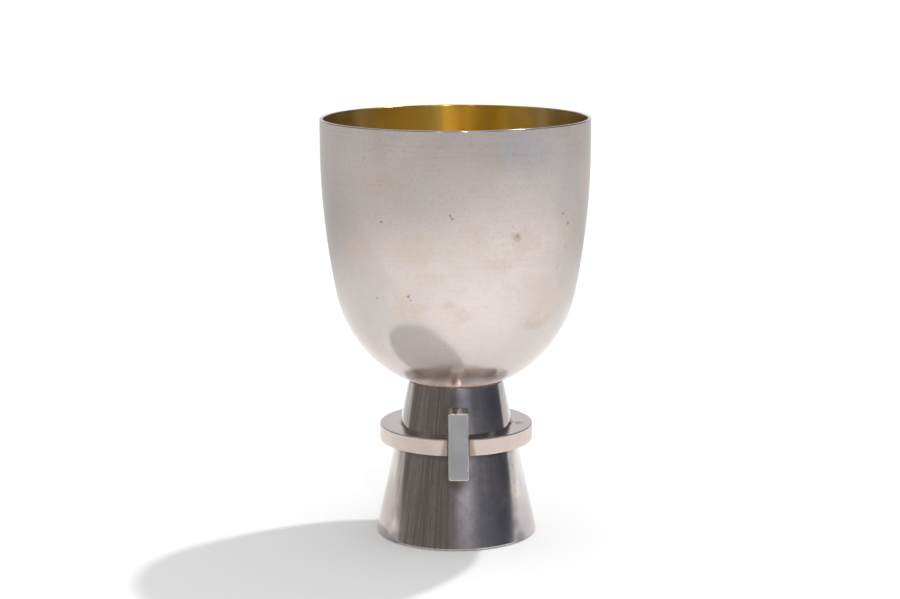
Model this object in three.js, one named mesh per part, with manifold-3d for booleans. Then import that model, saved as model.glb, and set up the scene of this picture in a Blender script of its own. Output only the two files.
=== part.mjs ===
// A modern silver chalice, in millimetres, +Z up. The origin is the centre of the foot's underside.
// A deep round-bottomed bowl stands on a hollow cone. A flat ring is soldered round the cone, and an
// upright bar, which leans with the cone, crosses the ring on the side that faces -Y, so that ring and
// bar make a cross.
import * as THREE from "three";
import { mergeVertices } from "three/addons/utils/BufferGeometryUtils.js";
import Module from "manifold-3d";

const wasm = await Module();
wasm.setup();

// Foot: a cone of sheet metal, open below and above
const FOOT_BASE_RADIUS = 31.15;
const NECK_RADIUS = 18; // outside, at the seam with the bowl
const FOOT_WALL = 1.5;
const BASE_EDGE_ROUND = 0.7; // the outer edge that meets the table
const CONE_BELOW_RING = 36.4;
const CONE_ABOVE_RING = 17.3;

// Ring round the cone
const RING_HEIGHT = 6.4;
const RING_REACH = 7.6; // out from the cone, at the ring's upper face
const RING_EDGE_ROUND = 0.45;

// Upright bar of the cross
const BAR_WIDTH = 7.5;
const BAR_RISE = 9.9; // above the ring
const BAR_DROP = 8.2; // below the ring
const BAR_PROUD = 1.4; // its face in front of the rim, at the ring's upper face
const BAR_UPPER_ROUND = 0.5; // upper corners of the face, seen from the front
const BAR_LOWER_ROUND = 0.9; // lower corners
const BAR_EDGE_ROUND = 0.35; // edges round the face

// Bowl: a round bottom, a long side curve that widens a little, and an upright lip
const BOTTOM_RADIUS = 46.3; // outside, of the round bottom
const SIDE_FLARE = 4.8; // how much wider the lip is than the round bottom
const SIDE_HEIGHT = 47.6; // from the round bottom's centre to the lip
const LIP_HEIGHT = 10.3;
const BOWL_WALL = 1.2;
const LIP_EDGE_ROUND = 0.4;

// Soldered seams keep this much room between the pieces
const SOLDER_GAP = 0.1;

// Facets
const TURN_STEPS = 64;
const BOTTOM_STEPS = 10;
const SIDE_STEPS = 4;
const EDGE_STEPS = 2;
const SEAT_STEPS = 2;
const CORNER_STEPS = 3;

// Heights and radii that follow from the driving dimensions
const ringBottom = CONE_BELOW_RING;
const ringTop = ringBottom + RING_HEIGHT;
const seamHeight = ringTop + CONE_ABOVE_RING;
const coneSlope = (FOOT_BASE_RADIUS - NECK_RADIUS) / seamHeight;
const coneRadius = (z) => FOOT_BASE_RADIUS - coneSlope * z;
const ringRadius = coneRadius(ringTop) + RING_REACH;
const rimRadius = BOTTOM_RADIUS + SIDE_FLARE;
const bottomCentre = seamHeight + Math.sqrt(BOTTOM_RADIUS ** 2 - NECK_RADIUS ** 2);
const sideTop = bottomCentre + SIDE_HEIGHT;
const rimHeight = sideTop + LIP_HEIGHT;
// The side curve is an arc that leaves the lip upright and runs into the round bottom with no crease.
const sideRadius = (rimRadius + BOTTOM_RADIUS) / 2 + SIDE_HEIGHT ** 2 / (2 * SIDE_FLARE);
const sideCentre = rimRadius - sideRadius;
const sideAngle = Math.atan2(SIDE_HEIGHT, sideRadius - rimRadius);

const silver = (name, color, roughness) =>
  new THREE.MeshStandardMaterial({ name, color, roughness, metalness: 1 });

// Points of a circular arc in the profile plane, from one angle to another, both included.
function arc(centreR, centreZ, radius, from, to, steps) {
  return Array.from({ length: steps + 1 }, (_, i) => {
    const angle = from + ((to - from) * i) / steps;
    return new THREE.Vector2(centreR + radius * Math.cos(angle), centreZ + radius * Math.sin(angle));
  });
}

// A body turned about +Z from a profile of (radius, height) points that runs anticlockwise.
function turned(profile) {
  return new THREE.LatheGeometry(profile, TURN_STEPS).rotateX(Math.PI / 2);
}

// A closed geometry as a solid, for cutting.
function solidOf(geometry) {
  const bare = geometry.clone().deleteAttribute("normal").deleteAttribute("uv");
  const merged = mergeVertices(bare, 1e-4);
  return new wasm.Manifold(
    new wasm.Mesh({
      numProp: 3,
      vertProperties: new Float32Array(merged.attributes.position.array),
      triVerts: new Uint32Array(merged.index.array),
    }),
  );
}

// A solid back as a geometry.
function geometryOf(solid) {
  const mesh = solid.getMesh();
  const geometry = new THREE.BufferGeometry();
  geometry.setAttribute("position", new THREE.BufferAttribute(mesh.vertProperties, 3));
  geometry.setIndex(new THREE.BufferAttribute(mesh.triVerts, 1));
  geometry.computeVertexNormals();
  return geometry;
}

// Outline of one skin of the bowl, a distance inside its outer face, from the pole up to the side's top.
function bowlSkin(inset) {
  const bottom = arc(
    0, bottomCentre, BOTTOM_RADIUS - inset, -Math.PI / 2, -sideAngle, BOTTOM_STEPS,
  );
  bottom[0].x = 0;
  const side = arc(sideCentre, sideTop, sideRadius - inset, -sideAngle, 0, SIDE_STEPS);
  return [...bottom, ...side.slice(1)];
}

function bowl() {
  const lipBase = rimHeight - LIP_EDGE_ROUND;
  const innerRadius = rimRadius - BOWL_WALL;
  const profile = [
    ...bowlSkin(0),
    ...arc(rimRadius - LIP_EDGE_ROUND, lipBase, LIP_EDGE_ROUND, 0, Math.PI / 2, EDGE_STEPS),
    ...arc(innerRadius + LIP_EDGE_ROUND, lipBase, LIP_EDGE_ROUND, Math.PI / 2, Math.PI, EDGE_STEPS),
    ...bowlSkin(BOWL_WALL).reverse(),
  ];
  return new THREE.Mesh(turned(profile), silver("satin silver", 0xcfc8c3, 0.3));
}

// The foot's upper edge is hollowed to the bowl's round bottom, which it carries all round.
function foot() {
  const seatRadius = BOTTOM_RADIUS + SOLDER_GAP;
  const seatAngle = (r) => -Math.acos(r / seatRadius);
  const innerNeck = NECK_RADIUS - FOOT_WALL;
  const seat = arc(
    0, bottomCentre, seatRadius, seatAngle(NECK_RADIUS), seatAngle(innerNeck), SEAT_STEPS,
  );
  const lean = Math.atan(coneSlope);
  const edgeCentre = coneRadius(0) - BASE_EDGE_ROUND * Math.tan(Math.PI / 4 + lean / 2);
  const profile = [
    new THREE.Vector2(FOOT_BASE_RADIUS - FOOT_WALL, 0),
    ...arc(edgeCentre, BASE_EDGE_ROUND, BASE_EDGE_ROUND, -Math.PI / 2, lean, EDGE_STEPS),
    ...seat,
  ];
  profile.push(profile[0].clone());
  return new THREE.Mesh(turned(profile), silver("polished silver", 0x9a9592, 0.2));
}

// The ring's bore follows the cone, and its two ends meet the flanks of the bar.
function ring() {
  const top = ringTop - RING_EDGE_ROUND;
  const bottom = ringBottom + RING_EDGE_ROUND;
  const edge = ringRadius - RING_EDGE_ROUND;
  const profile = [
    new THREE.Vector2(coneRadius(ringBottom) + SOLDER_GAP, ringBottom),
    ...arc(edge, bottom, RING_EDGE_ROUND, -Math.PI / 2, 0, EDGE_STEPS),
    ...arc(edge, top, RING_EDGE_ROUND, 0, Math.PI / 2, EDGE_STEPS),
    new THREE.Vector2(coneRadius(ringTop) + SOLDER_GAP, ringTop),
  ];
  profile.push(profile[0].clone());
  const slot = new THREE.BoxGeometry(
    BAR_WIDTH + 2 * SOLDER_GAP, 2 * ringRadius, 2 * RING_HEIGHT,
  ).translate(0, -ringRadius, (ringBottom + ringTop) / 2);
  const cut = solidOf(turned(profile)).subtract(solidOf(slot));
  return new THREE.Mesh(geometryOf(cut), silver("brushed silver", 0xc9c1bb, 0.35));
}

// A rectangle with rounded corners, centred on the bar's front face, inset all round.
function barOutline(inset) {
  const halfWidth = BAR_WIDTH / 2 - inset;
  const halfHeight = (BAR_RISE + RING_HEIGHT + BAR_DROP) / 2 - inset;
  const corners = [
    [1, -1, BAR_LOWER_ROUND - inset],
    [1, 1, BAR_UPPER_ROUND - inset],
    [-1, 1, BAR_UPPER_ROUND - inset],
    [-1, -1, BAR_LOWER_ROUND - inset],
  ];
  const points = corners.flatMap(([x, z, round], quarter) =>
    arc(
      x * (halfWidth - round), z * (halfHeight - round), round,
      ((quarter - 1) * Math.PI) / 2, (quarter * Math.PI) / 2, CORNER_STEPS,
    ),
  );
  return new THREE.Shape(points);
}

// The bar's face leans back as the cone does, while its ends stay level. It reaches back to the cone,
// which its rear face follows.
function bar() {
  const face = ringRadius + BAR_PROUD;
  const middle = (BAR_RISE - RING_HEIGHT - BAR_DROP) / 2; // from the ring's upper face
  const lean = new THREE.Matrix4().makeShear(0, 0, 0, 0, 0, coneSlope);
  const blank = new THREE.ExtrudeGeometry(barOutline(BAR_EDGE_ROUND), {
    depth: face - BAR_EDGE_ROUND,
    bevelSize: BAR_EDGE_ROUND,
    bevelThickness: BAR_EDGE_ROUND,
    bevelSegments: EDGE_STEPS,
  })
    .rotateX(Math.PI / 2)
    .translate(0, 0, middle)
    .applyMatrix4(lean)
    .translate(0, 0, ringTop);
  const cone = turned([
    new THREE.Vector2(0, 0),
    new THREE.Vector2(coneRadius(0) + SOLDER_GAP, 0),
    new THREE.Vector2(coneRadius(seamHeight) + SOLDER_GAP, seamHeight),
    new THREE.Vector2(0, seamHeight),
  ]);
  const cut = solidOf(blank).subtract(solidOf(cone));
  return new THREE.Mesh(geometryOf(cut), silver("brushed silver", 0xa5a6a7, 0.35));
}

const chalice = new THREE.Group();
chalice.name = "chalice";
for (const [name, make] of Object.entries({ bowl, foot, ring, cross_bar: bar })) {
  const mesh = make();
  mesh.name = name;
  chalice.add(mesh);
}

export default chalice;
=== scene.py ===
"""A silver chalice with a gilt lining, dressed around its construction frame.

The bowl, the conical foot, the ring round its waist and the upright bar that crosses the ring are
each one turned or carried surface, worked out as whole arrays from a few sizes and from the frame.
"""

from __future__ import annotations

import logging
import math
from collections.abc import Callable
from dataclasses import dataclass
from enum import Enum

import bpy
import numpy as np
from mathutils import Matrix, Vector

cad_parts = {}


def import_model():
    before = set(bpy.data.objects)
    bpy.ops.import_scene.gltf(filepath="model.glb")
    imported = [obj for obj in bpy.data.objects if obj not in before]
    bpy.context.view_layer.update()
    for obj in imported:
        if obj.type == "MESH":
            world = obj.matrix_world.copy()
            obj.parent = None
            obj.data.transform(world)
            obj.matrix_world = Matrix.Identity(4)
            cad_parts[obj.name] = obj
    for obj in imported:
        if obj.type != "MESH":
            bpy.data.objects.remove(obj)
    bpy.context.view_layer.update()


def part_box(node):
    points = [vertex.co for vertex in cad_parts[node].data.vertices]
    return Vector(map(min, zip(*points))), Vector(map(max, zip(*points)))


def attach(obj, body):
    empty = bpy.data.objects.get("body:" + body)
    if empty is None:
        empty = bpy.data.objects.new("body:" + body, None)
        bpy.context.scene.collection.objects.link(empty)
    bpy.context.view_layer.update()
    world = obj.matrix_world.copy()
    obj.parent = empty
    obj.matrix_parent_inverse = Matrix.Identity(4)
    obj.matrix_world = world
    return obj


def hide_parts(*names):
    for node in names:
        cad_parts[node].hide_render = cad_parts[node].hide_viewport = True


log = logging.getLogger("chalice")

MM = 0.001
BODY = "root"
UV_NAME = "grain"
FULL_SHARE = 0.2  # the share of a mark's reach over which it has its full strength
GRAIN_MM = 100  # millimetres in one unit of the grain coordinates
TINY = 1e-9  # keeps a division by a radius of 0 finite

Colour = tuple[float, float, float]
Socket = bpy.types.NodeSocket


class Slot(Enum):
    """The record's material slots."""

    SATIN = "satin_silver"
    TURNED = "turned_silver"
    BRUSHED = "brushed_silver"


class Side(Enum):
    """Which of the bowl's two finishes a stretch of its outline takes."""

    SILVER = 0
    GILT = 1


class BarFinish(Enum):
    """Which of the bar's two finishes a row of its surface takes."""

    SATIN = 0
    # edges and sides: a brighter tone for rubbed wear and a painted highlight
    RUBBED_AND_HIGHLIT = 1


# Outlines and surfaces


@dataclass
class Outline:
    """A run of points in a plane, each with the outward normal of the true curve there."""

    points: np.ndarray
    normals: np.ndarray

    @staticmethod
    def line(start: tuple[float, float], end: tuple[float, float], steps: int) -> Outline:
        """A straight run, with its normal on the right-hand side of the way it goes.

        Args:
            start: The first point.
            end: The last point.
            steps: How many equal parts it has.

        Returns:
            The straight outline.
        """
        share = np.linspace(0.0, 1.0, steps + 1)[:, None]
        points = np.array(start) * (1 - share) + np.array(end) * share
        run = (np.array(end) - np.array(start)) / math.dist(start, end)
        return Outline(points, np.tile([run[1], -run[0]], (steps + 1, 1)))

    @staticmethod
    def arc(
        centre: tuple[float, float],
        radius: float,
        start: float,
        end: float,
        steps: int,
        hollow: bool = False,
    ) -> Outline:
        """A round run: the centre plus the radius times the cosine and sine of the angle.

        Args:
            centre: The middle of the circle.
            radius: Its radius.
            start: The first angle, in degrees from the plane's first axis.
            end: The last angle.
            steps: How many equal parts it has.
            hollow: True where the normal points to the centre.

        Returns:
            The round outline.
        """
        angle = np.radians(np.linspace(start, end, steps + 1))
        out = np.stack([np.cos(angle), np.sin(angle)], axis=1)
        return Outline(np.array(centre) + radius * out, -out if hollow else out)

    @staticmethod
    def joined(runs: list[Outline], closed: bool) -> Outline:
        """Several runs end to end, each starting where the one before it ends.

        Args:
            runs: The runs in order.
            closed: True where the last point comes back to the first.

        Returns:
            One outline, with the shared points written once, and the first again at the end if closed.
        """
        points = np.concatenate([r.points[:-1] for r in runs] + [runs[-1].points[-1:]])
        normals = np.concatenate([r.normals[:-1] for r in runs] + [runs[-1].normals[-1:]])
        if closed:
            points[-1], normals[-1] = points[0], normals[0]
        return Outline(points, normals)

    @staticmethod
    def rounded(corners: np.ndarray, radii: np.ndarray, round_steps: int, line_steps: int) -> Outline:
        """A polygon, run anticlockwise, with each corner rounded by an arc that touches both its sides.

        At a corner that turns by an angle t, an arc of radius r starts r * tan(t / 2) before it and
        ends as far after it. Its centre lies r to the left of the side that comes in.

        Args:
            corners: The polygon's corners, one row each.
            radii: The rounding at each corner.
            round_steps: Steps in each rounding.
            line_steps: Steps in each straight side.

        Returns:
            The closed outline.
        """
        runs: list[Outline] = []
        ahead = np.roll(corners, -1, axis=0) - corners
        ahead /= np.linalg.norm(ahead, axis=1)[:, None]
        behind = np.roll(ahead, 1, axis=0)
        turn = np.arctan2(
            behind[:, 0] * ahead[:, 1] - behind[:, 1] * ahead[:, 0], np.sum(behind * ahead, axis=1)
        )
        cut = radii * np.tan(turn / 2)
        enter, leave = corners - behind * cut[:, None], corners + ahead * cut[:, None]
        centre = enter + np.stack([-behind[:, 1], behind[:, 0]], axis=1) * radii[:, None]
        first = np.degrees(np.arctan2(-behind[:, 0], behind[:, 1]))
        count = len(corners)
        for k in range(count):
            last = first[k] + math.degrees(turn[k])
            runs.append(Outline.arc(tuple(centre[k]), radii[k], first[k], last, round_steps))
            runs.append(Outline.line(tuple(leave[k]), tuple(enter[(k + 1) % count]), line_steps))
        return Outline.joined(runs, closed=True)

    def length(self) -> np.ndarray:
        """The way along the outline to each of its points."""
        return np.concatenate([[0.0], np.cumsum(np.linalg.norm(np.diff(self.points, axis=0), axis=1))])


@dataclass
class Surface:
    """A grid of points with normals and grain coordinates, and how its edges close."""

    points: np.ndarray
    normals: np.ndarray
    grain: np.ndarray
    closed_rows: bool = False
    closed_columns: bool = False
    poles: tuple[int, ...] = ()
    end_caps: bool = False
    row_finish: np.ndarray | None = None

    def mesh(self, name: str) -> bpy.types.Object:
        """Welds the grid and makes it an object at the origin, its faces pointing out.

        Each cell of the grid is one quad, or a triangle beside a pole. Edges that close share their
        vertices, while each corner keeps its own normal and grain coordinate.

        Args:
            name: The piece's name.

        Returns:
            The new object.
        """
        rows, columns = self.points.shape[:2]
        own = np.arange(rows * columns).reshape(rows, columns)
        shared = own.copy()
        if self.closed_rows:
            shared[-1] = shared[0]
        if self.closed_columns:
            shared[:, -1] = shared[:, 0]
        for row in self.poles:
            shared[row] = shared[row, 0]
        cells = np.stack([own[:-1, :-1], own[:-1, 1:], own[1:, 1:], own[1:, :-1]], axis=-1).reshape(-1, 4)
        finish = np.zeros(rows - 1, int) if self.row_finish is None else self.row_finish
        finish = np.repeat(finish, columns - 1)
        corner = shared.reshape(-1)[cells]
        low, high = corner[:, 0] == corner[:, 1], corner[:, 2] == corner[:, 3]
        whole = ~(low | high)
        faces = [cells[whole], cells[low][:, [0, 2, 3]], cells[high][:, [0, 1, 2]]]
        finishes = [finish[whole], finish[low], finish[high]]
        if self.end_caps:
            ring = own[:-1] if self.closed_rows else own
            faces += [ring[:, 0][None, ::-1], ring[:, -1][None, :]]
            finishes += [np.zeros(1, int), np.zeros(1, int)]
        flat = np.concatenate([f.reshape(-1) for f in faces])
        used, welded = np.unique(shared.reshape(-1)[flat], return_inverse=True)
        sizes = np.concatenate([np.full(len(f), f.shape[1]) for f in faces])
        starts = np.concatenate([[0], np.cumsum(sizes)[:-1]])
        places = self.points.reshape(-1, 3)
        corner_normals = self.normals.reshape(-1, 3)[flat]
        if self.end_caps:
            many = faces[-1].shape[1]
            for cap, columns_across in ((slice(-2 * many, -many), (1, 0)), (slice(-many, None), (-2, -1))):
                step = self.points[0, columns_across[1]] - self.points[0, columns_across[0]]
                corner_normals[cap] = np.array([math.copysign(1.0, step[0]), 0.0, 0.0])
        data = bpy.data.meshes.new(name)
        data.vertices.add(len(used))
        data.vertices.foreach_set("co", places[used].astype(np.float32).reshape(-1))
        data.loops.add(len(flat))
        data.loops.foreach_set("vertex_index", welded.reshape(-1).astype(np.int32))
        data.polygons.add(len(sizes))
        data.polygons.foreach_set("loop_start", starts.astype(np.int32))
        data.polygons.foreach_set("material_index", np.concatenate(finishes).astype(np.int32))
        data.update(calc_edges=True)
        layer = data.uv_layers.new(name=UV_NAME)
        layer.data.foreach_set("uv", self.grain.reshape(-1, 2)[flat].astype(np.float32).reshape(-1))
        data.validate()
        data.polygons.foreach_set("use_smooth", np.ones(len(data.polygons), bool))
        data.normals_split_custom_set(corner_normals.tolist())
        return in_scene(name, data)


def in_scene(name: str, data: bpy.types.ID) -> bpy.types.Object:
    """A new object with that data, linked into the scene."""
    made = bpy.data.objects.new(name, data)
    bpy.context.scene.collection.objects.link(made)
    return made


def turned(outline: Outline, steps: int, opening: float = 0.0, **closing: object) -> Surface:
    """An outline of radius and height turned about the upright axis.

    A point at radius r and height z goes to (r sin a, -r cos a, z) as the angle a runs once round
    from the front. With an opening, the surface stops on two flat faces that far each side of the
    front, so at radius r the angle starts and ends at the arc sine of the opening over r.

    Args:
        outline: Radius and height, with normals.
        steps: Steps once round.
        opening: Half the width left out at the front.
        closing: How the surface closes, as Surface takes it.

    Returns:
        The turned surface, its grain coordinates the way along the outline and the share of a turn.
    """
    radius, height = outline.points.T
    share = np.linspace(0.0, 1.0, steps + 1)
    start = np.arcsin(np.clip(opening / np.maximum(radius, TINY), 0.0, 1.0)) if opening else 0.0 * radius
    angle = start[:, None] + (2 * np.pi - 2 * start)[:, None] * share
    sine, cosine = np.sin(angle), np.cos(angle)

    def around(out: np.ndarray, up: np.ndarray) -> np.ndarray:
        """Turns a pair of values for each row into points for the whole grid."""
        return np.stack([out[:, None] * sine, -out[:, None] * cosine, up[:, None] + 0 * sine], axis=-1)

    grain = np.stack(np.broadcast_arrays(outline.length()[:, None] / MM / GRAIN_MM, share), axis=-1)
    return Surface(
        around(radius, height),
        around(*outline.normals.T),
        grain,
        closed_columns=not opening,
        end_caps=bool(opening),
        **closing,
    )


def around_axis(turn: float, radius: float, height: float) -> Colour:
    """The point at a turn in degrees from the front, a radius and a height."""
    return (radius * math.sin(math.radians(turn)), -radius * math.cos(math.radians(turn)), height)


# Finishes


@dataclass(frozen=True)
class Mark:
    """A stain, a patch or a speck: its turn from the front, its height or drop, its reach, its strength."""

    turn: float
    level: float
    reach: float
    strength: float


def marks_mm(*rows: tuple[float, float, float, float]) -> tuple[Mark, ...]:
    """Marks from rows of turn in degrees, level and reach in millimetres, and strength."""
    return tuple(Mark(turn, level * MM, reach * MM, strength) for turn, level, reach, strength in rows)


class Weave:
    """One material's shader nodes, added and joined by short calls."""

    def __init__(self, name: str) -> None:
        """Starts a material that holds one shader for metal.

        Args:
            name: The material's name.
        """
        self.material = bpy.data.materials.new(name)
        self.material.use_nodes = True
        self.nodes = self.material.node_tree.nodes
        self.links = self.material.node_tree.links
        self.nodes.clear()
        self.shader = self.add("ShaderNodeBsdfPrincipled", Metallic=1.0)
        output = self.add("ShaderNodeOutputMaterial")
        self.links.new(self.shader.outputs["BSDF"], output.inputs["Surface"])

    def add(self, kind: str, **inputs: object) -> bpy.types.Node:
        """Adds a node and feeds its sockets.

        Args:
            kind: The node's type.
            inputs: A number, tuple or socket for each socket name, with _ for a space.

        Returns:
            The node.
        """
        node = self.nodes.new(kind)
        for key, value in inputs.items():
            self.feed(node.inputs[key.replace("_", " ")], value)
        return node

    def feed(self, target: Socket, value: object) -> None:
        """Links a socket to the target, or sets the target's own value."""
        if isinstance(value, bpy.types.NodeSocket):
            self.links.new(value, target)
        elif isinstance(value, tuple) and len(value) == 3 and target.type == "RGBA":
            target.default_value = (*value, 1.0)
        else:
            target.default_value = value

    def place(self) -> Socket:
        """The point on the piece, in metres."""
        return self.add("ShaderNodeTexCoord").outputs["Object"]

    def maths(self, operation: str, *values: object) -> Socket:
        """A Math node's result.

        Args:
            operation: The operation's name.
            values: Its numbers or sockets.

        Returns:
            The result's socket.
        """
        node = self.nodes.new("ShaderNodeMath")
        node.operation = operation
        for target, value in zip(node.inputs, values):
            self.feed(target, value)
        return node.outputs[0]

    def vector_maths(self, operation: str, *values: object) -> bpy.types.Node:
        """A Vector Math node with that operation, fed with those vectors."""
        node = self.nodes.new("ShaderNodeVectorMath")
        node.operation = operation
        for target, value in zip(node.inputs, values):
            self.feed(target, value)
        return node

    def vector(self, x: object, y: object, z: object) -> Socket:
        """Three numbers or sockets as one vector."""
        return self.add("ShaderNodeCombineXYZ", X=x, Y=y, Z=z).outputs[0]

    def noise(
        self, where: Socket, scale: float, detail: float = 2.0, rough: float = 0.5, warp: float = 0.0
    ) -> Socket:
        """Soft random values from 0 to 1.

        Args:
            where: The point to read.
            scale: Waves for each metre, or for each unit of the vector.
            detail: How many finer layers it has.
            rough: How strong the finer layers are.
            warp: How far it is stirred.

        Returns:
            The value's socket.
        """
        node = self.add(
            "ShaderNodeTexNoise", Vector=where, Scale=scale, Detail=detail, Roughness=rough, Distortion=warp
        )
        return node.outputs[0]

    def span(
        self, value: Socket, low: float, high: float, to_low: float = 0.0, to_high: float = 1.0
    ) -> Socket:
        """A value moved smoothly from one range to another.

        Args:
            value: The value's socket.
            low: Where the range starts.
            high: Where it ends.
            to_low: What the start becomes.
            to_high: What the end becomes.

        Returns:
            The result's socket.
        """
        node = self.nodes.new("ShaderNodeMapRange")
        node.interpolation_type = "SMOOTHSTEP"
        for target, number in zip(node.inputs, (value, low, high, to_low, to_high)):
            self.feed(target, number)
        return node.outputs[0]

    def blend(self, share: object, first: object, second: object) -> Socket:
        """Goes from one colour to another.

        Args:
            share: 0 for the first, 1 for the second.
            first: A colour or its socket.
            second: A colour or its socket.

        Returns:
            The colour's socket.
        """
        node = self.nodes.new("ShaderNodeMix")
        node.data_type = "RGBA"
        for index, value in ((0, share), (6, first), (7, second)):
            self.feed(node.inputs[index], value)
        return node.outputs[2]

    def bumps(self, height: Socket, depth: float, under: Socket | None = None) -> Socket:
        """A normal tilted by a height that varies by so many metres, on top of another such normal."""
        node = self.add("ShaderNodeBump", Height=height, Distance=depth, Strength=1.0)
        if under is not None:
            self.links.new(under, node.inputs["Normal"])
        return node.outputs[0]

    def stirred(self, place: Socket, waves: float, amount: float) -> Socket:
        """A place moved about at random, so that what is drawn round it gets a ragged edge.

        Args:
            place: The place.
            waves: How quickly the movement changes, in waves for each metre.
            amount: How far it moves, in metres.

        Returns:
            The moved place.
        """
        noise = self.add("ShaderNodeTexNoise", Vector=place, Scale=waves, Detail=3.0)
        moved = self.vector_maths("MULTIPLY_ADD", noise.outputs["Color"], (amount,) * 3, place)
        return self.vector_maths("SUBTRACT", moved.outputs[0], (amount / 2,) * 3).outputs[0]

    def marks(self, where: Socket, marks: tuple[Mark, ...], middle: Callable[[Mark], Colour]) -> Socket:
        """Soft patches, each full at its middle and gone at its reach.

        Args:
            where: The place, stirred as the patches need.
            marks: The patches.
            middle: Gives a patch's middle on the piece.

        Returns:
            How strong the patches are, from 0 to 1.
        """
        strength: object = 0.0
        for mark in marks:
            away = self.vector_maths("DISTANCE", where, middle(mark)).outputs["Value"]
            patch = self.span(away, FULL_SHARE * mark.reach, mark.reach, mark.strength, 0.0)
            strength = self.maths("MAXIMUM", strength, patch)
        return strength

    def angle(self, place: Socket) -> Socket:
        """The turn from the front, in radians, to the right."""
        spot = self.add("ShaderNodeSeparateXYZ", Vector=place)
        return self.maths("ARCTAN2", spot.outputs[0], self.maths("MULTIPLY", spot.outputs[1], -1.0))

    def from_axis(self, place: Socket) -> Socket:
        """The distance from the upright axis, in metres."""
        level = self.vector_maths("MULTIPLY", place, (1.0, 1.0, 0.0))
        return self.vector_maths("LENGTH", level.outputs[0]).outputs["Value"]

    def across(self, place: Socket) -> Socket:
        """The way to the right of the middle, in metres."""
        return self.add("ShaderNodeSeparateXYZ", Vector=place).outputs[0]

    def height(self, place: Socket) -> Socket:
        """The height above the table, in metres."""
        return self.add("ShaderNodeSeparateXYZ", Vector=place).outputs[2]

    def grain_along(self) -> Socket:
        """The direction along the outline, across the marks of turning."""
        node = self.nodes.new("ShaderNodeTangent")
        node.direction_type = "UV_MAP"
        node.uv_map = UV_NAME
        return node.outputs[0]

    def grain_place(self) -> Socket:
        """The way along the outline, in tenths of a metre."""
        node = self.nodes.new("ShaderNodeUVMap")
        node.uv_map = UV_NAME
        return self.add("ShaderNodeSeparateXYZ", Vector=node.outputs[0]).outputs[0]

    def turning_marks(self, lines: float, drift: float) -> Socket:
        """Fine marks that run round the piece: noise that is quick along the outline and slow around it.

        Args:
            lines: Marks for each tenth of a metre along the outline.
            drift: How quickly a mark fades as it runs round, in waves for each metre.

        Returns:
            The marks' height, from 0 to 1.
        """
        spot = self.add("ShaderNodeSeparateXYZ", Vector=self.place())
        where = self.vector(
            self.maths("MULTIPLY", self.grain_place(), lines),
            self.maths("MULTIPLY", spot.outputs[0], drift),
            self.maths("MULTIPLY", spot.outputs[1], drift),
        )
        return self.noise(where, 1.0, 2.0, 0.6)

    def finish(self, **inputs: object) -> bpy.types.Material:
        """Feeds the shader and gives the material back."""
        for key, value in inputs.items():
            self.feed(self.shader.inputs[key.replace("_", " ")], value)
        return self.material

    def metal(self, tone: Socket, rough: Socket, stretch: float, normal: Socket) -> bpy.types.Material:
        """Metal whose glints are drawn out by the marks of turning.

        Args:
            tone: Its colour.
            rough: Its roughness.
            stretch: How far the glints are drawn out, from 0 to 1.
            normal: Its normal, with the bumps.

        Returns:
            The material.
        """
        along = self.grain_along()
        return self.finish(
            Base_Color=tone, Roughness=rough, Anisotropic=stretch, Tangent=along, Normal=normal
        )


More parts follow.
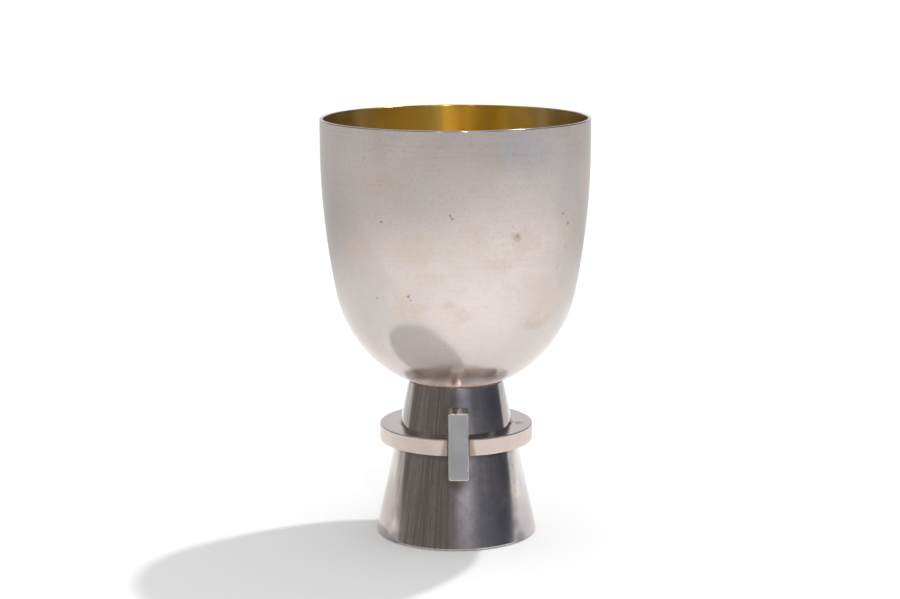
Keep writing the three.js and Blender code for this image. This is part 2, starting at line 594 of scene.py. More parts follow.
@dataclass(frozen=True)
class SatinSilver:
    """The bowl's outside: silver scoured round with a fine abrasive, clouded by handling.

    Broad patches of painted shade at the two sides and of painted highlight right of the front, blue
    patches, stains and specks are given by their turn from the front and their drop below the rim. The
    underside, within two distances from the axis, is rougher. Waves are counted for each metre, marks of
    turning for each tenth of a metre.
    """

    clean: Colour = (0.685, 0.61, 0.58)
    cool: Colour = (0.632, 0.585, 0.58)
    warm: Colour = (0.685, 0.583, 0.53)
    # dull tone: used for the turning marks, and as the painted shade of the side patches
    dull_and_painted_shade: Colour = (0.55, 0.50, 0.485)
    # painted highlight: the tone of the lighter patches
    bright: Colour = (0.76, 0.68, 0.65)
    blue: Colour = (0.575, 0.575, 0.605)
    peach: Colour = (0.64, 0.53, 0.455)
    brown: Colour = (0.40, 0.30, 0.23)
    speck: Colour = (0.20, 0.16, 0.15)
    roughness: tuple[float, float] = (0.13, 0.18)
    underside: tuple[float, float] = (28.0 * MM, 35.0 * MM)
    underside_rougher: float = 0.1
    stretch: float = 0.6
    cloud_waves: float = 22.0
    haze_waves: float = 50.6
    mottle_waves: float = 900.0
    dent_waves: float = 34.0
    dent_depth: float = 3.0e-5
    mark_lines: float = 260.0
    mark_drift: float = 30.0
    mark_depth: float = 1.8e-6
    mottle_depth: float = 1.0e-6
    blue_patches: tuple[Mark, ...] = marks_mm(
        (31.0, 9.0, 17.0, 0.55), (52.0, 20.0, 18.0, 0.5), (-75.0, 25.0, 20.0, 0.4),
    )
    # painted shade: darker patches at the two sides, where the bowl mirrors a darker table
    painted_shade_patches: tuple[Mark, ...] = marks_mm(
        (-62.0, 60.0, 40.0, 0.95), (70.0, 60.0, 32.0, 0.8),
    )
    # painted highlight: lighter patches right of the front
    painted_highlight_patches: tuple[Mark, ...] = marks_mm(
        (26.0, 34.0, 27.0, 1.0), (8.0, 70.0, 24.0, 0.8),
    )
    peach_stains: tuple[Mark, ...] = marks_mm(
        (-19.3, 44.2, 11.0, 0.5), (-15.0, 54.0, 9.0, 0.4), (28.0, 42.0, 9.0, 0.4),
        (17.0, 48.5, 8.0, 0.4), (-52.0, 44.0, 12.0, 0.4), (-28.4, 65.4, 6.0, 0.8),
        (-21.0, 68.0, 5.5, 0.7), (-3.3, 63.7, 5.0, 0.75), (0.0, 68.0, 5.0, 0.4),
        (47.0, 66.0, 11.0, 0.45),
    )
    brown_stains: tuple[Mark, ...] = marks_mm(
        (24.8, 38.9, 2.4, 0.45), (35.0, 72.6, 3.4, 0.24), (39.0, 73.8, 3.4, 0.28),
        (43.0, 73.6, 3.2, 0.28), (47.5, 71.5, 3.2, 0.22), (-42.0, 11.0, 1.0, 0.4),
        (53.6, 45.2, 1.1, 0.5), (49.0, 52.0, 1.4, 0.3),
    )
    specks: tuple[Mark, ...] = marks_mm(
        (-3.8, 30.2, 0.7, 0.7), (-3.0, 31.4, 0.8, 0.6), (-33.9, 33.6, 0.7, 0.7),
        (49.7, 32.2, 0.9, 0.7), (54.0, 36.3, 1.1, 0.6), (25.2, 38.6, 0.8, 0.5),
        (-23.2, 60.8, 0.9, 0.7), (-22.0, 62.0, 0.7, 0.5), (-40.0, 62.4, 0.7, 0.5),
    )

    def material(self, bowl: Bowl) -> bpy.types.Material:
        """Clouds of cool and warm tone, patches of painted shade and painted highlight, stains and specks,
        fine marks round the bowl, soft dents.

        Args:
            bowl: The bowl, which says where a mark lies.

        Returns:
            The material.
        """
        weave = Weave("satin_silver_outside")
        place = weave.place()
        cloud = weave.noise(place, self.cloud_waves, 3.0, 0.55, 0.4)
        haze = weave.noise(place, self.haze_waves, 4.0, 0.6, 0.6)
        mottle = weave.noise(place, self.mottle_waves, 2.0, 0.5)
        marks = weave.turning_marks(self.mark_lines, self.mark_drift)
        ragged = weave.stirred(place, 150.0, 16.0 * MM)
        torn = weave.stirred(place, 700.0, 3.5 * MM)
        fine = weave.stirred(place, 1600.0, 1.4 * MM)
        tone = weave.blend(weave.span(cloud, 0.42, 0.68), self.clean, self.cool)
        tone = weave.blend(weave.span(haze, 0.45, 0.7, 0.0, 0.9), tone, self.warm)
        # the first two kinds are painted shade and painted highlight; blue patches and stains follow
        for where, patches, colour in (
            (ragged, self.painted_shade_patches, self.dull_and_painted_shade),
            (ragged, self.painted_highlight_patches, self.bright),
            (ragged, self.blue_patches, self.blue),
            (ragged, self.peach_stains, self.peach),
            (torn, self.brown_stains, self.brown),
        ):
            tone = weave.blend(weave.marks(where, patches, bowl.spot), tone, colour)
        tone = weave.blend(weave.span(mottle, 0.5, 0.75, 0.0, 0.16), tone, self.brown)
        tone = weave.blend(weave.span(marks, 0.45, 0.8, 0.0, 0.25), tone, self.dull_and_painted_shade)
        tone = weave.blend(weave.marks(fine, self.specks, bowl.spot), tone, self.speck)
        rough = weave.maths(
            "ADD", weave.span(haze, 0.3, 0.7, *self.roughness), weave.span(marks, 0.2, 0.8, -0.015, 0.015)
        )
        underside = weave.span(weave.from_axis(place), *self.underside, self.underside_rougher, 0.0)
        rough = weave.maths("ADD", rough, underside)
        normal = weave.bumps(weave.noise(place, self.dent_waves, 1.0), self.dent_depth)
        normal = weave.bumps(marks, self.mark_depth, normal)
        normal = weave.bumps(mottle, self.mottle_depth, normal)
        return weave.metal(tone, rough, self.stretch, normal)


@dataclass(frozen=True)
class TurnedSilver:
    """The foot: silver polished on the lathe, with brown upright streaks.

    Under the ring and round the bar it is darker: painted shadow of the ring and the bar. The streaks
    gather between two turns from the front, in degrees. Patches of dark film, patches of painted shade
    at the sides and low down each side of the front, the painted shadow round the bar and painted tan
    highlights are given by their turn and their height above the table.
    """

    clean: Colour = (0.78, 0.715, 0.695)
    brown: Colour = (0.51, 0.43, 0.385)
    # painted shade: the tone where the cone mirrors a darker table at the sides
    pink_side_shade: Colour = (0.46, 0.385, 0.35)
    # deep tone: the painted shade low down each side of the front
    deep: Colour = (0.28, 0.265, 0.27)
    # painted shadow: the tone under the ring and round the bar
    painted_shadow_tone: Colour = (0.33, 0.28, 0.245)
    dark: Colour = (0.47, 0.47, 0.51)
    # painted highlight: a lighter warm tone right of the front
    tan: Colour = (0.86, 0.74, 0.64)
    solder: Colour = (0.36, 0.27, 0.21)
    roughness: tuple[float, float] = (0.055, 0.08)
    stretch: float = 0.75
    streaks_from: float = -72.0
    streaks_to: float = -8.0
    streaks_round: float = 16.0
    streaks_up: float = 9.0
    solder_line: float = 0.55 * MM
    solder_rougher: float = 0.2
    film_waves: float = 60.0
    mottle_waves: float = 420.0
    mottling: float = 0.45
    mark_lines: float = 300.0
    mark_drift: float = 20.0
    mark_depth: float = 0.6e-6
    # painted shadow of the ring: a band that darkens over this height below the ring
    shade_below_ring: float = 4.0 * MM
    shade_behind_ring: float = 1.0 * MM
    shade: float = 0.85
    films: tuple[Mark, ...] = marks_mm(
        (24.0, 15.0, 7.0, 0.55), (38.0, 8.5, 9.0, 0.75), (22.0, 6.0, 8.0, 0.55),
        (47.0, 27.0, 8.0, 0.4), (44.0, 52.0, 8.0, 0.6), (12.0, 54.0, 7.0, 0.8),
        (50.0, 3.0, 9.0, 1.0), (52.0, 14.0, 7.0, 0.6), (30.0, 1.0, 8.0, 0.5),
    )
    # painted shade at the sides, where the cone mirrors a darker table
    painted_side_shade: tuple[Mark, ...] = marks_mm(
        (-74.0, 15.0, 19.0, 0.85), (-62.0, 3.0, 11.0, 0.9), (-78.0, 32.0, 12.0, 0.5),
        (72.0, 8.0, 19.0, 0.5),
    )
    # painted shade low down each side of the front
    painted_edge_shade: tuple[Mark, ...] = marks_mm(
        (51.0, 1.5, 4.5, 1.0), (49.0, 7.0, 3.5, 0.6), (-51.0, 2.0, 4.5, 0.9),
        (-57.0, 11.0, 5.0, 0.45),
    )
    # painted shadow of the bar on the cone, from below its foot up to the seam
    painted_bar_shadow: tuple[Mark, ...] = marks_mm(
        (0.0, 25.5, 5.5, 1.0), (0.0, 29.0, 7.5, 1.0), (0.0, 36.0, 8.0, 0.85),
        (0.0, 44.0, 7.5, 0.75), (0.0, 50.0, 7.0, 0.7), (0.0, 54.5, 5.0, 0.5),
    )
    # painted highlight: the mirrored glint of a light to the right
    painted_tan_highlights: tuple[Mark, ...] = marks_mm(
        (44.0, 17.0, 4.0, 0.5), (53.0, 17.5, 4.5, 0.5),
    )

    def material(self, foot: Foot) -> bpy.types.Material:
        """Streaks that follow the slope, patches of darker film, painted shade, painted shadow and painted
        highlights, a line of solder, turning marks.

        Args:
            foot: The foot, which says where a mark and the seam lie.

        Returns:
            The material.
        """
        weave = Weave("turned_silver_foot")
        place = weave.place()
        angle, height = weave.angle(place), weave.height(place)
        streak_place = weave.vector(
            weave.maths("MULTIPLY", angle, self.streaks_round),
            weave.maths("MULTIPLY", height, self.streaks_up),
            0.0,
        )
        streaks = weave.noise(streak_place, 1.0, 5.0, 0.8)
        ends = [math.radians(self.streaks_from), math.radians(self.streaks_to)]
        gather = weave.maths(
            "MULTIPLY",
            weave.span(angle, ends[0] - 0.2, ends[0] + 0.2),
            weave.span(angle, ends[1] - 0.25, ends[1] + 0.25, 1.0, 0.25),
        )
        strength = weave.maths("MULTIPLY", weave.span(streaks, 0.42, 0.6), gather)
        patches = weave.noise(place, self.film_waves, 4.0, 0.6, 0.5)
        mottle = weave.noise(place, self.mottle_waves, 4.0, 0.65)
        ragged = weave.stirred(place, 200.0, 6.0 * MM)
        tone = weave.blend(strength, self.clean, self.brown)
        tone = weave.blend(weave.span(patches, 0.5, 0.72, 0.0, 0.45), tone, self.dark)
        for films, colour in (
            (self.films, self.dark),
            # painted shade at the sides
            (self.painted_side_shade, self.pink_side_shade),
            # painted tan highlight
            (self.painted_tan_highlights, self.tan),
        ):
            tone = weave.blend(weave.marks(ragged, films, foot.spot), tone, colour)
        tone = weave.blend(weave.span(mottle, 0.4, 0.7, 0.0, self.mottling), tone, self.dark)
        close = weave.stirred(place, 300.0, 2.0 * MM)
        # painted shade low down each side of the front
        tone = weave.blend(weave.marks(close, self.painted_edge_shade, foot.spot), tone, self.deep)
        # painted shadow of the bar, below and round it
        tone = weave.blend(weave.marks(close, self.painted_bar_shadow, foot.spot), tone, self.painted_shadow_tone)
        # painted shadow of the ring, in a band below its lower face
        ring = foot.under_ring
        under = weave.span(height, ring - self.shade_below_ring, ring, 0.0, self.shade)
        above = weave.span(height, ring, ring + self.shade_behind_ring, 1.0, 0.0)
        tone = weave.blend(weave.maths("MULTIPLY", under, above), tone, self.painted_shadow_tone)
        below_seam = foot.seam_height - self.solder_line
        seam = weave.span(height, below_seam - 0.3 * self.solder_line, below_seam)
        tone = weave.blend(seam, tone, self.solder)
        marks = weave.turning_marks(self.mark_lines, self.mark_drift)
        rough = weave.span(patches, 0.3, 0.7, *self.roughness)
        rough = weave.maths("MULTIPLY_ADD", seam, self.solder_rougher, rough)
        return weave.metal(tone, rough, self.stretch, weave.bumps(marks, self.mark_depth))


@dataclass(frozen=True)
class BrushedSilver:
    """The ring and the bar: silver rubbed smooth, a little tarnished.

    The ring's rim has a tone of its own and is rougher, and it carries painted shade in the corners beside
    the bar, over a width that grows from the upper edge down.
    """

    name: str
    clean: Colour
    roughness: tuple[float, float]
    brown: Colour = (0.36, 0.27, 0.22)
    stretch: float = 0.4
    stains: tuple[Mark, ...] = ()
    rim: Colour = (0.79, 0.68, 0.62)
    rim_rougher: float = 0.2
    # painted shade beside the bar: how far past the cut it is full, and where it is gone
    corner: tuple[float, float] = (0.5 * MM, 2.6 * MM)
    corner_shade_growth: float = 0.2
    corner_shade_strength: float = 0.8
    patch_waves: float = 130.0
    grain_waves: float = 1500.0
    grain_depth: float = 1.0e-6
    mark_lines: float = 320.0
    mark_drift: float = 30.0
    mark_depth: float = 1.5e-6

    def material(self, ring: Ring | None = None) -> bpy.types.Material:
        """Soft brown spots, fine marks along the piece, a rim scoured to satin, and painted shade beside the
        bar.

        Args:
            ring: The ring, where the piece is the ring, which says where rim, cut and stains lie.

        Returns:
            The material.
        """
        weave = Weave(self.name)
        place = weave.place()
        patches = weave.noise(place, self.patch_waves, 4.0, 0.6, 0.4)
        grain = weave.noise(place, self.grain_waves, 2.0, 0.6)
        tone = weave.blend(weave.span(patches, 0.56, 0.8, 0.0, 0.5), self.clean, self.brown)
        rough = weave.span(patches, 0.3, 0.7, *self.roughness)
        if ring:
            stains = weave.marks(weave.stirred(place, 500.0, 2.5 * MM), self.stains, ring.spot)
            tone = weave.blend(stains, tone, self.brown)
            rim = weave.span(weave.from_axis(place), ring.reach - 0.3 * MM, ring.reach - 0.1 * MM)
            rough = weave.maths("MULTIPLY_ADD", rim, self.rim_rougher, rough)
            tone = weave.blend(rim, tone, self.rim)
            # painted shade on the rim in the corners beside the bar, wider lower down
            aside = weave.maths("ABSOLUTE", weave.across(place))
            drop = weave.maths("SUBTRACT", ring.top, weave.height(place))
            past = weave.maths("SUBTRACT", aside, weave.maths("MULTIPLY", drop, self.corner_shade_growth))
            near, far = (ring.half_cut + reach for reach in self.corner)
            corner = weave.maths("MULTIPLY", rim, weave.span(past, near, far, self.corner_shade_strength, 0.0))
            tone = weave.blend(corner, tone, self.brown)
        marks = weave.turning_marks(self.mark_lines, self.mark_drift)
        normal = weave.bumps(marks, self.mark_depth)
        normal = weave.bumps(grain, self.grain_depth, normal)
        return weave.metal(tone, rough, self.stretch, normal)


@dataclass(frozen=True)
class GiltLining:
    """The bowl's inside: fire-gilt silver, scoured round."""

    gold: Colour = (0.95, 0.74, 0.20)
    deep: Colour = (0.92, 0.67, 0.11)
    # painted reflection: the paler tone towards the two sides
    painted_side_reflection: Colour = (0.97, 0.88, 0.72)
    roughness: tuple[float, float] = (0.18, 0.27)
    stretch: float = 0.85
    # where the painted reflection starts and where it is full, across from the middle
    side_reflection_from: float = 22.0 * MM
    side_reflection_to: float = 47.0 * MM
    bands_round: float = 6.0
    bands_up: float = 9.0
    mark_lines: float = 300.0
    mark_drift: float = 20.0
    mark_depth: float = 2.5e-6

    def material(self) -> bpy.types.Material:
        """Two tones of gold under marks that run round, with a painted reflection that makes them paler at
        the two sides.
        """
        weave = Weave("gilt_lining")
        place = weave.place()
        angle = weave.angle(place)
        along = weave.maths("MULTIPLY", weave.height(place), self.bands_up)
        bands = weave.vector(weave.maths("MULTIPLY", angle, self.bands_round), along, 0.0)
        patches = weave.noise(bands, 1.0, 3.0, 0.6)
        marks = weave.turning_marks(self.mark_lines, self.mark_drift)
        aside = weave.maths("ABSOLUTE", weave.across(place))
        tone = weave.blend(weave.span(patches, 0.35, 0.65), self.gold, self.deep)
        # painted reflection, paler towards the two sides
        tone = weave.blend(weave.span(aside, self.side_reflection_from, self.side_reflection_to), tone, self.painted_side_reflection)
        rough = weave.span(marks, 0.2, 0.8, *self.roughness)
        return weave.metal(tone, rough, self.stretch, weave.bumps(marks, self.mark_depth))


# Pieces


@dataclass
class Bowl:
    """The raised bowl: a round bottom, a side on a long arc and an upright lip."""

    bottom_radius: float = 46.3 * MM
    side_flare: float = 4.8 * MM
    side_height: float = 47.6 * MM
    lip_height: float = 10.3 * MM
    wall: float = 1.2 * MM
    edge_round: float = 0.4 * MM
    steps_round: int = 288

    def __post_init__(self) -> None:
        """Works out the arcs from the sizes and from the top of the frame's bowl."""
        self.rim_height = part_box("bowl")[1].z
        self.side_top = self.rim_height - self.lip_height
        self.bottom_centre = self.side_top - self.side_height
        self.rim_radius = self.bottom_radius + self.side_flare
        mean_radius = (self.rim_radius + self.bottom_radius) / 2
        self.side_radius = mean_radius + self.side_height**2 / (2 * self.side_flare)
        self.side_centre = self.rim_radius - self.side_radius
        self.side_angle = math.degrees(math.atan2(self.side_height, self.side_radius - self.rim_radius))

    def skin(self, inset: float, inward: bool) -> list[Outline]:
        """The bowl's outline that far inside the outer face, from the pole up to the lip.

        Args:
            inset: How far in from the outer face.
            inward: True for the lining, which runs from the lip down and faces in.

        Returns:
            The bottom, side and lip runs in order.
        """
        bottom = ((0.0, self.bottom_centre), self.bottom_radius - inset)
        side = ((self.side_centre, self.side_top), self.side_radius - inset)
        radius, top = self.rim_radius - inset, self.rim_height - self.edge_round
        if inward:
            return [
                Outline.line((radius, top), (radius, self.side_top), 6),
                Outline.arc(*side, 0.0, -self.side_angle, 40, hollow=True),
                Outline.arc(*bottom, -self.side_angle, -90.0, 56, hollow=True),
            ]
        return [
            Outline.arc(*bottom, -90.0, -self.side_angle, 64),
            Outline.arc(*side, -self.side_angle, 0.0, 44),
            Outline.line((radius, self.side_top), (radius, top), 6),
        ]

    def spot(self, mark: Mark) -> Colour:
        """The middle of a mark on the outer face, its level taken as the drop below the rim."""
        height = self.rim_height - mark.level
        above = height - self.bottom_centre
        if above > self.side_height:
            radius = self.rim_radius
        elif above > -self.bottom_radius * math.sin(math.radians(self.side_angle)):
            radius = self.side_centre + math.sqrt(self.side_radius**2 - (self.side_top - height) ** 2)
        else:
            radius = math.sqrt(self.bottom_radius**2 - above**2)
        return around_axis(mark.turn, radius, height)

    def lip(self) -> list[Outline]:
        """The lip's edge: a quarter round outside, a flat land and a quarter round inside."""
        top, outer = self.rim_height - self.edge_round, self.rim_radius - self.edge_round
        inner = self.rim_radius - self.wall + self.edge_round
        return [
            Outline.arc((outer, top), self.edge_round, 0.0, 90.0, 8),
            Outline.line((outer, self.rim_height), (inner, self.rim_height), 2),
            Outline.arc((inner, top), self.edge_round, 90.0, 180.0, 8),
        ]

    def build(self) -> bpy.types.Object:
        """The whole bowl as one closed surface, silver outside and gilt inside."""
        outside, lip = self.skin(0.0, False), self.lip()
        runs = outside + lip + self.skin(self.wall, True)
        outline = Outline.joined(runs, closed=False)
        outline.points[[0, -1], 0] = 0.0
        gilt_from = sum(len(r.points) - 1 for r in outside + lip[:2])
        finish = np.where(np.arange(len(outline.points) - 1) < gilt_from, Side.SILVER.value, Side.GILT.value)
        surface = turned(outline, self.steps_round, poles=(0, len(outline.points) - 1), row_finish=finish)
        return surface.mesh("bowl_body")

    def dress(self, piece: bpy.types.Object) -> None:
        """Gives the bowl its two finishes and lets it stand for the frame's bowl."""
        for finish in (SatinSilver().material(self), GiltLining().material()):
            piece.data.materials.append(finish)
        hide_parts("bowl")


@dataclass
class Foot:
    """The foot: a cone of sheet metal, open below, its upper edge seated on the bowl."""

    bowl: Bowl
    base_radius: float = 31.15 * MM
    neck_radius: float = 18.0 * MM
    wall: float = 1.5 * MM
    base_round: float = 0.7 * MM
    neck_round: float = 0.15 * MM
    steps_round: int = 256

    def __post_init__(self) -> None:
        """Works out the seam on the bowl and the cone's slope, and reads where the ring begins."""
        self.seam_height = self.bowl.bottom_centre - self.seat_drop(self.neck_radius)
        self.slope = (self.base_radius - self.neck_radius) / self.seam_height
        self.under_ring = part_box("ring")[0].z

    def seat_drop(self, radius: float) -> float:
        """How far below the bottom's centre the bowl's outer face is at that radius."""
        return math.sqrt(self.bowl.bottom_radius**2 - radius**2)

    def radius_at(self, height: float | np.ndarray) -> float | np.ndarray:
        """The cone's outer radius at a height."""
        return self.base_radius - self.slope * height

    def spot(self, mark: Mark) -> Colour:
        """The middle of a mark on the outer face, its level taken as the height above the table."""
        return around_axis(mark.turn, self.radius_at(mark.level), mark.level)

    def build(self) -> bpy.types.Object:
        """The cone's wall as a closed outline turned round: out along the base, up, in and down."""
        inner_neck = self.neck_radius - self.wall
        inner_seam = self.bowl.bottom_centre - self.seat_drop(inner_neck)
        corners = np.array(
            [
                [self.base_radius - self.wall, 0.0],
                [self.base_radius, 0.0],
                [self.neck_radius, self.seam_height],
                [inner_neck, inner_seam],
            ]
        )
        radii = np.array([self.base_round, self.base_round, self.neck_round, self.neck_round])
        outline = Outline.rounded(corners, radii, 8, 24)
        return turned(outline, self.steps_round, closed_rows=True).mesh("foot_cone")

    def dress(self, piece: bpy.types.Object) -> None:
        """Gives the foot its finish and lets it stand for the frame's foot."""
        piece.data.materials.append(TurnedSilver().material(self))
        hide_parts("foot")


@dataclass
class Ring:
    """The flat ring round the foot's waist, cut through at the front for the bar."""

    foot: Foot
    edge_round: float = 0.45 * MM
    inner_round: float = 0.1 * MM
    seat: float = 0.02 * MM
    steps_round: int = 256

    def __post_init__(self) -> None:
        """Takes the ring's heights and reach from the frame, and the cut from the bar's width."""
        low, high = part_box("ring")
        self.bottom, self.top, self.reach = low.z, high.z, high.x
        self.half_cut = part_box("cross_bar")[1].x

    def build(self) -> bpy.types.Object:
        """The ring's section, its inner side on the cone, turned from one face of the cut to the other."""
        bore_low = self.foot.radius_at(self.bottom) + self.seat
        bore_high = self.foot.radius_at(self.top) + self.seat
        corners = np.array(
            [
                [bore_low, self.bottom],
                [self.reach, self.bottom],
                [self.reach, self.top],
                [bore_high, self.top],
            ]
        )
        radii = np.array([self.inner_round, self.edge_round, self.edge_round, self.inner_round])
        outline = Outline.rounded(corners, radii, 8, 6)
        return turned(outline, self.steps_round, self.half_cut, closed_rows=True).mesh("waist_ring")

    def spot(self, mark: Mark) -> Colour:
        """The middle of a mark on the upper face, its level taken as the way in from the rim."""
        return around_axis(mark.turn, self.reach - mark.level, self.top)

    def dress(self, piece: bpy.types.Object) -> None:
        """Gives the ring its finish and lets it stand for the frame's ring."""
        stains = marks_mm((81.0, 5.2, 3.2, 1.0))
        finish = BrushedSilver("brushed_silver_ring", (0.67, 0.60, 0.57), (0.16, 0.24), stains=stains)
        piece.data.materials.append(finish.material(self))
        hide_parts("ring")


@dataclass
class CrossBar:
    """The upright bar let through the ring at the front, its back seated on the cone."""

    foot: Foot
    upper_round: float = 0.5 * MM
    lower_round: float = 0.9 * MM
    edge_round: float = 0.35 * MM
    sunk: float = 0.3 * MM

    def __post_init__(self) -> None:
        """Takes the bar's width, heights and thickness in front of the cone from the frame."""
        low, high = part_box("cross_bar")
        self.half_width = (high.x - low.x) / 2
        self.bottom, self.top = low.z, high.z
        self.thickness = -low.y - self.foot.radius_at(self.bottom + self.edge_round)

    def outline(self, inset: float) -> Outline:
        """The bar's outline seen from the front, that far inside its edge."""
        right, low, high = self.half_width - inset, self.bottom + inset, self.top - inset
        corners = np.array([[-right, low], [right, low], [right, high], [-right, high]])
        radii = np.array([self.lower_round, self.lower_round, self.upper_round, self.upper_round])
        return Outline.rounded(corners, radii - inset, 6, 10)

    def build(self) -> bpy.types.Object:
        """The front face grown from its centre, a rounded edge, and sides that run back to the cone.

        Row by row, the outline shrinks by an inset and lies at a depth behind the front face, which
        keeps its thickness in front of the cone at every height. On the rounded edge, at an angle t,
        the inset is the rounding times 1 - sin t and the depth the rounding times 1 - cos t. On the
        sides it goes straight back to the cone, and the last row closes the back. The lean is a shear
        by the cone's slope, so a normal gains the slope times its forward part upwards.
        """
        full, flat = self.outline(0.0), self.outline(self.edge_round)
        centre = np.array([0.0, (self.bottom + self.top) / 2])
        rows, normals = [], []

        def add(points: np.ndarray, depth: float | np.ndarray, out: np.ndarray, forward: float) -> None:
            """Adds one row, its normal between the outline's own and the forward one."""
            front = -self.thickness - self.foot.radius_at(points[:, 1])
            rows.append(np.stack([points[:, 0], front + depth, points[:, 1]], axis=1))
            side = math.sqrt(max(1 - forward**2, 0.0))
            rise = out[:, 1] * side + self.foot.slope * forward
            normal = np.stack([out[:, 0] * side, np.full(len(out), -forward), rise], axis=1)
            normals.append(normal / np.linalg.norm(normal, axis=1)[:, None])

        for share in (0.0, 0.35, 0.7, 0.9):
            add(centre + (flat.points - centre) * share, 0.0, flat.normals, 1.0)
        for angle in np.radians(np.linspace(0.0, 90.0, 9)):
            step = self.outline(self.edge_round * (1 - math.sin(angle)))
            add(step.points, self.edge_round * (1 - math.cos(angle)), step.normals, math.cos(angle))
        across, height = full.points.T
        radius = self.foot.radius_at(height)
        seat = self.thickness + self.sunk + radius - np.sqrt(radius**2 - across**2)
        for share in (0.25, 0.5, 0.75, 1.0):
            add(full.points, self.edge_round + (seat - self.edge_round) * share, full.normals, 0.0)
        add(centre + 0 * full.points, self.thickness + self.sunk, full.normals, -1.0)
        points, normals = np.array(rows)[:, ::-1], np.array(normals)[:, ::-1]
        # the face keeps the satin finish; the edges and sides take the brighter one, partly a painted
        # highlight
        satin = np.arange(len(rows) - 1) < 4
        along = (points[..., 2] + points[..., 1]) / MM / GRAIN_MM
        over = (points[..., 0] + points[..., 1]) / MM / GRAIN_MM
        surface = Surface(
            points,
            normals,
            np.stack([along, over], axis=-1),
            closed_columns=True,
            poles=(0, len(rows) - 1),
            row_finish=np.where(satin, BarFinish.SATIN.value, BarFinish.RUBBED_AND_HIGHLIT.value),
        )
        return surface.mesh("upright_bar")

    def dress(self, piece: bpy.types.Object) -> None:
        """Gives the bar its finish and lets it stand for the frame's bar."""
        satin = BrushedSilver("satin_face_of_bar", (0.525, 0.525, 0.54), (0.27, 0.33))
        # rounded edges and sides: a brighter tone for rubbed wear and a painted highlight
        polished = BrushedSilver("rubbed_edge_with_painted_highlight_of_bar", (0.82, 0.74, 0.67), (0.22, 0.28))
        for finish in (satin, polished):
            piece.data.materials.append(finish.material())
        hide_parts("cross_bar")


# The studio


@dataclass(frozen=True)
class Glow:
    """A soft patch of light in the surroundings: its middle, its reach and its brightness."""

    turn: float
    rise: float
    wide: float
    tall: float
    light: Colour


def direction(turn: float, rise: float) -> Vector:
    """The way from the chalice to a thing in the studio.

    Args:
        turn: Degrees round from the front, to the right.
        rise: Degrees above the table.

    Returns:
        A vector of length one.
    """
    turn, rise = math.radians(turn), math.radians(rise)
    return Vector((math.sin(turn) * math.cos(rise), -math.cos(turn) * math.cos(rise), math.sin(rise)))


@dataclass(frozen=True)
class KeyLight:
    """The far, fairly small light that casts the chalice's shadow on the table."""

    turn: float = 131.6
    rise: float = 60.8
    spread: float = 2.6
    strength: float = 1.5

    def build(self) -> None:
        """Puts the light in its place."""
        data = bpy.data.lights.new("key_light", "SUN")
        data.angle = math.radians(self.spread)
        data.energy = self.strength
        light = in_scene("key_light", data)
        light.rotation_euler = (-direction(self.turn, self.rise)).to_track_quat("-Z", "Y").to_euler()


@dataclass(frozen=True)
class Lamp:
    """A round white lamp: its direction from the chalice, distance, width, power, and where it aims."""

    name: str
    turn: float
    rise: float
    distance: float
    width: float
    power: float
    aim_height: float = 0.06

    def build(self) -> None:
        """Puts the lamp in its place, facing the chalice."""
        data = bpy.data.lights.new(self.name, "AREA")
        data.shape = "DISK"
        data.size = self.width
        data.energy = self.power
        lamp = in_scene(self.name, data)
        way = direction(self.turn, self.rise)
        lamp.location = way * self.distance + Vector((0.0, 0.0, self.aim_height))
        lamp.rotation_euler = (-way).to_track_quat("-Z", "Y").to_euler()


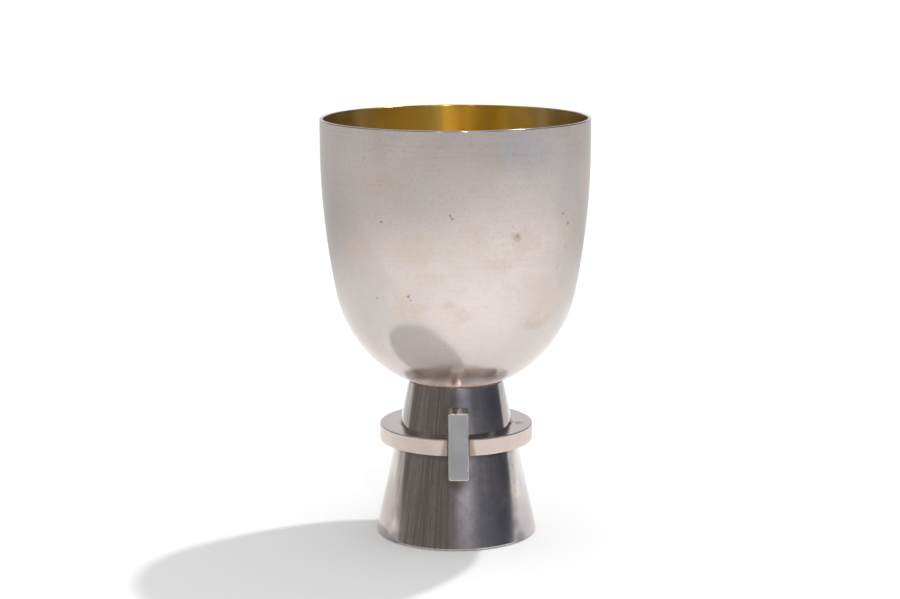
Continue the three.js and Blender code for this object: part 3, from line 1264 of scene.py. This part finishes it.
@dataclass
class Studio:
    """A white table, the surroundings that the metal mirrors, the lights and the camera."""

    floor_reach: float = 8.0
    floor_tone: float = 0.78
    sky_light: float = 0.93
    shell_start: float = 0.3
    shell_reach: float = 3.2
    shell_lift: float = 0.3 * MM
    table_edge: float = 3.0
    eye_height: float = 0.05
    front_lamp: Lamp = Lamp("front_lamp", 6.5, 28.0, 1.6, 0.1, 2.4)
    glows: tuple[Glow, ...] = (
        Glow(14.0, 9.2, 15.0, 2.8, (0.38, 0.39, 0.43)),
        Glow(28.0, 5.0, 36.0, 8.0, (0.085, 0.09, 0.10)),
        Glow(18.0, 25.0, 7.0, 5.0, (3.6, 3.5, 3.5)),
        Glow(-15.6, 26.0, 1.8, 4.5, (15.0, 13.6, 11.4)),
        Glow(-66.0, 23.0, 12.0, 5.0, (1.3, 1.27, 1.24)),
        Glow(80.0, 23.0, 9.0, 5.0, (1.2, 1.2, 1.2)),
    )
    room_dark: Colour = (0.125, 0.12, 0.12)
    room_warm: Colour = (0.19, 0.175, 0.167)
    room_cool: Colour = (0.072, 0.075, 0.088)
    room_above: Colour = (0.25, 0.25, 0.25)
    room_behind: Colour = (0.72, 0.72, 0.75)
    table_light: Colour = (1.04, 1.03, 1.02)
    focal_pixels: float = 2049.27
    image_width: float = 900.0
    camera_distance: float = 771.15 * MM
    camera_height: float = 236.57 * MM
    camera_sideways: float = -2.22 * MM
    camera_pitch: float = 10.714
    camera_roll: float = -0.2
    camera_turn: float = -1.4

    def floor(self) -> bpy.types.Object:
        """A flat pale square that the chalice stands on."""
        reach = self.floor_reach
        data = bpy.data.meshes.new("table_top")
        corners = [(-reach, -reach, 0), (reach, -reach, 0), (reach, reach, 0), (-reach, reach, 0)]
        data.from_pydata(corners, [], [(0, 1, 2, 3)])
        floor = in_scene("table_top", data)
        weave = Weave("white_table")
        weave.finish(Base_Color=(self.floor_tone,) * 3, Metallic=0.0, Roughness=0.9, Specular_IOR_Level=0.0)
        data.materials.append(weave.material)
        return floor

    def surroundings_light(self, points: np.ndarray) -> np.ndarray:
        """How bright the surroundings are at each point of the shell.

        On the flat part it is the white table, which loses light outwards, a little more so in front,
        near on the left and behind, out to the table's edge. Above it is the room: dark in front and
        beside, warm to the left and cool to the right, pale behind and paler high up, with a soft
        patch for each glow.

        Args:
            points: The shell's points, one row each.

        Returns:
            Their red, green and blue light.
        """
        x, y, z = points.T
        reach = np.hypot(x, y)
        front = np.clip(-y / np.maximum(reach, TINY), 0.0, 1.0)
        side = np.clip(x / np.maximum(reach, TINY), -1.0, 1.0)
        fall = 0.28 * self.step(reach, 0.25, 0.58) + 0.05 * self.step(reach, 0.8, 1.5)
        near_left = np.clip(-side, 0, 1) * (self.step(reach, 0.25, 0.5) - self.step(reach, 0.8, 1.4))
        behind = np.clip(y / np.maximum(reach, TINY), 0.0, 1.0)
        fall = fall * (0.9 + 0.1 * front) + 0.1 * near_left + 0.13 * behind * self.step(reach, 0.3, 0.6)
        table = np.array(self.table_light) * (1 - fall)[:, None]
        right, left = np.clip(side, 0, 1)[:, None], np.clip(-side, 0, 1)[:, None]
        room = np.array(self.room_dark) + right * (np.array(self.room_cool) - self.room_dark)
        room = room + left * (np.array(self.room_warm) - self.room_dark)
        turn = np.degrees(np.arctan2(x, -y))
        rise = np.degrees(np.arctan2(z - self.eye_height, reach))
        behind = self.step(np.abs(turn), 140.0, 160.0) * (1 - self.step(rise, 55.0, 80.0))
        room = room + behind[:, None] * (np.array(self.room_behind) - room)
        room = room + self.step(rise, 48.0, 75.0)[:, None] * np.array(self.room_above)
        for glow in self.glows:
            off = ((turn - glow.turn) / glow.wide) ** 2 + ((rise - glow.rise) / glow.tall) ** 2
            room = room + np.exp(-off)[:, None] * np.array(glow.light)
        on_table = (1 - self.step(reach, self.table_edge - 0.05, self.table_edge)) * (z < 0.01)
        return room + on_table[:, None] * (table - room)

    @staticmethod
    def step(value: np.ndarray, low: float, high: float) -> np.ndarray:
        """Goes smoothly from 0 to 1 as the value goes from low to high."""
        share = np.clip((value - low) / (high - low), 0.0, 1.0)
        return share * share * (3 - 2 * share)

    def surroundings(self) -> bpy.types.Object:
        """A shell that only mirrored rays see: flat over the table, then a dome up to the top.

        Its outline is a level line from the start to the reach and a quarter round up to the top,
        turned once round. Each vertex holds its light.
        """
        low = self.shell_lift
        level = Outline.line((self.shell_start, low), (self.shell_reach, low), 150)
        dome = Outline.arc((0.0, low), self.shell_reach, 0.0, 90.0, 90, hollow=True)
        outline = Outline.joined([level, dome], closed=False)
        outline.points[-1, 0] = 0.0
        shell = turned(outline, 360, poles=(len(outline.points) - 1,)).mesh("studio_shell")
        places = np.empty(len(shell.data.vertices) * 3)
        shell.data.vertices.foreach_get("co", places)
        light = self.surroundings_light(places.reshape(-1, 3))
        layer = shell.data.color_attributes.new("light", "FLOAT_COLOR", "POINT")
        layer.data.foreach_set("color", np.column_stack([light, np.ones(len(light))]).reshape(-1))
        material = bpy.data.materials.new("studio_shell_light")
        material.use_nodes = True
        tree = material.node_tree
        tree.nodes.clear()
        reader = tree.nodes.new("ShaderNodeAttribute")
        reader.attribute_name = "light"
        glow = tree.nodes.new("ShaderNodeEmission")
        output = tree.nodes.new("ShaderNodeOutputMaterial")
        tree.links.new(reader.outputs["Color"], glow.inputs["Color"])
        tree.links.new(glow.outputs[0], output.inputs["Surface"])
        shell.data.materials.append(material)
        for flag in ("camera", "diffuse", "transmission", "volume_scatter", "shadow"):
            setattr(shell, f"visible_{flag}", False)
        return shell

    def sky(self) -> None:
        """An even white light from all round, for the table and as the backdrop."""
        world = bpy.data.worlds.new("white_backdrop")
        world.use_nodes = True
        world.node_tree.nodes["Background"].inputs["Color"].default_value = (1.0, 1.0, 1.0, 1.0)
        world.node_tree.nodes["Background"].inputs["Strength"].default_value = self.sky_light
        bpy.context.scene.world = world

    def camera(self) -> bpy.types.Object:
        """The camera at the photograph's height, distance and angle."""
        data = bpy.data.cameras.new("camera")
        data.sensor_width = 36.0
        data.lens = self.focal_pixels / self.image_width * data.sensor_width
        data.clip_start = 0.01
        camera = in_scene("camera", data)
        camera.matrix_world = (
            Matrix.Rotation(math.radians(self.camera_turn), 4, "Z")
            @ Matrix.Translation((self.camera_sideways, -self.camera_distance, self.camera_height))
            @ Matrix.Rotation(math.radians(90.0 - self.camera_pitch), 4, "X")
            @ Matrix.Rotation(math.radians(self.camera_roll), 4, "Z")
        )
        bpy.context.scene.camera = camera
        return camera

    def build(self) -> None:
        """Sets the whole studio up."""
        view = bpy.context.scene.view_settings
        view.view_transform, view.look = "Standard", "None"
        self.floor()
        self.surroundings()
        self.sky()
        KeyLight().build()
        self.front_lamp.build()
        self.camera()


def main() -> None:
    """Loads the frame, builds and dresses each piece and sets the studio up."""
    logging.basicConfig(level=logging.INFO, format="%(name)s: %(message)s")
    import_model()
    bowl = Bowl()
    foot = Foot(bowl)
    for maker in (bowl, foot, Ring(foot), CrossBar(foot)):
        piece = maker.build()
        maker.dress(piece)
        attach(piece, BODY)
        log.info("%s: %d faces", piece.name, len(piece.data.polygons))
    Studio().build()


if __name__ == "__main__":
    main()
